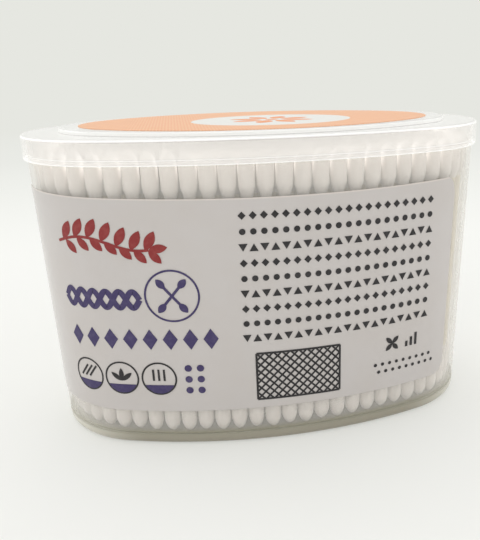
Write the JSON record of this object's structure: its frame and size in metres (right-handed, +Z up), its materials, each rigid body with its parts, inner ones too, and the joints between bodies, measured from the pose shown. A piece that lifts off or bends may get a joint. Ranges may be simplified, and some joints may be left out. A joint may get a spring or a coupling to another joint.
{
  "type": "cotton swab box",
  "caption": "Clear oval plastic tub with a lift-off lid, filled with upright cotton swabs, with a paper label round the front and a coloured sticker on the lid.",
  "frame": {"origin": "centre of the oval footprint, on the plane the box stands on", "axes": "+X along the box's length, -Y is the labelled front, +Z up towards the lid"},
  "size_m": [0.1238, 0.0708, 0.0813],
  "materials": {
    "clear_tub": "hazy clear polypropylene",
    "clear_lid": "hazy clear polypropylene, a little cloudier than the tub",
    "label_paper": "matt printed paper",
    "sticker_paper": "matt printed paper with a fine stipple",
    "cotton": "wound cotton, soft and fibrous",
    "paper_stick": "tightly rolled paper"
  },
  "bodies": {
    "box": {"tub": "clear_tub", "front_label": "label_paper", "front_wall_sticks": "paper_stick", "front_wall_lower_tips": "cotton", "front_wall_upper_tips": "cotton", "back_wall_sticks": "paper_stick", "back_wall_lower_tips": "cotton", "back_wall_upper_tips": "cotton", "left_end_sticks": "paper_stick", "left_end_lower_tips": "cotton", "left_end_upper_tips": "cotton", "right_end_sticks": "paper_stick", "right_end_lower_tips": "cotton", "right_end_upper_tips": "cotton", "inner_front_sticks": "paper_stick", "inner_front_lower_tips": "cotton", "inner_front_upper_tips": "cotton", "inner_middle_sticks": "paper_stick", "inner_middle_lower_tips": "cotton", "inner_middle_upper_tips": "cotton", "inner_back_sticks": "paper_stick", "inner_back_lower_tips": "cotton", "inner_back_upper_tips": "cotton"},
    "lid": {"lid": "clear_lid", "lid_sticker": "sticker_paper"}
  },
  "joints": [
    {"name": "lid_lift", "type": "slide", "parent": "box", "child": "lid", "axis": [0, 0, 1], "range_m": [0, 0.04]}
  ]
}
